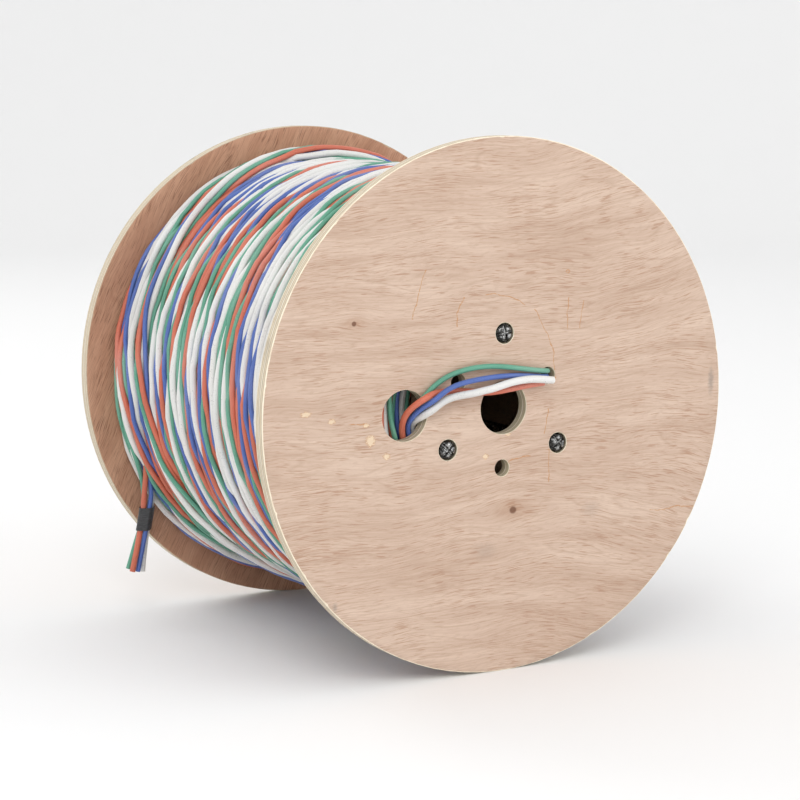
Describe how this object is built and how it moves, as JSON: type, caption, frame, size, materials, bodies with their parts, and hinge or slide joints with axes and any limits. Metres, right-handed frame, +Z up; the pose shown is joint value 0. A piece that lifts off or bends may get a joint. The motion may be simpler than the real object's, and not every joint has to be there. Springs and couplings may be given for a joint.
{
  "type": "cable reel",
  "caption": "Plywood cable reel with round flanges clamped on a drum by tie bolts, wound with a four-strand bundle whose ends hang loose.",
  "frame": {"origin": "on the floor under the middle of the reel, which stands on the rims of its flanges", "axes": "the axle lies along Y with the front flange at -Y, +Z up"},
  "size_m": [0.4062, 0.3574, 0.4062],
  "materials": {
    "plywood": "raw sanded plywood",
    "fibreboard": "wound kraft fibreboard",
    "bolt_steel": "dark oxidised steel",
    "zinc_steel": "dull zinc plate",
    "cable_mixed": "four jacket colours twisted together",
    "jacket_green": "satin PVC jacket",
    "jacket_blue": "satin PVC jacket",
    "jacket_orange": "satin PVC jacket",
    "jacket_white": "satin PVC jacket",
    "tape_black": "black vinyl tape"
  },
  "bodies": {
    "root": {"front_flange": "plywood", "rear_flange": "plywood", "drum_tube": "fibreboard", "tie_bolt_1": "bolt_steel", "tie_bolt_2": "bolt_steel", "tie_bolt_3": "bolt_steel", "washer_1": "zinc_steel", "washer_2": "zinc_steel", "washer_3": "zinc_steel", "nut_1": "zinc_steel", "nut_2": "zinc_steel", "nut_3": "zinc_steel", "cable_winding": "cable_mixed", "start_lead_green": "jacket_green", "start_lead_blue": "jacket_blue", "start_lead_orange": "jacket_orange", "start_lead_white": "jacket_white", "tail_green": "jacket_green", "tail_blue": "jacket_blue", "tail_orange": "jacket_orange", "tail_white": "jacket_white", "tail_tape": "tape_black"}
  },
  "joints": []
}
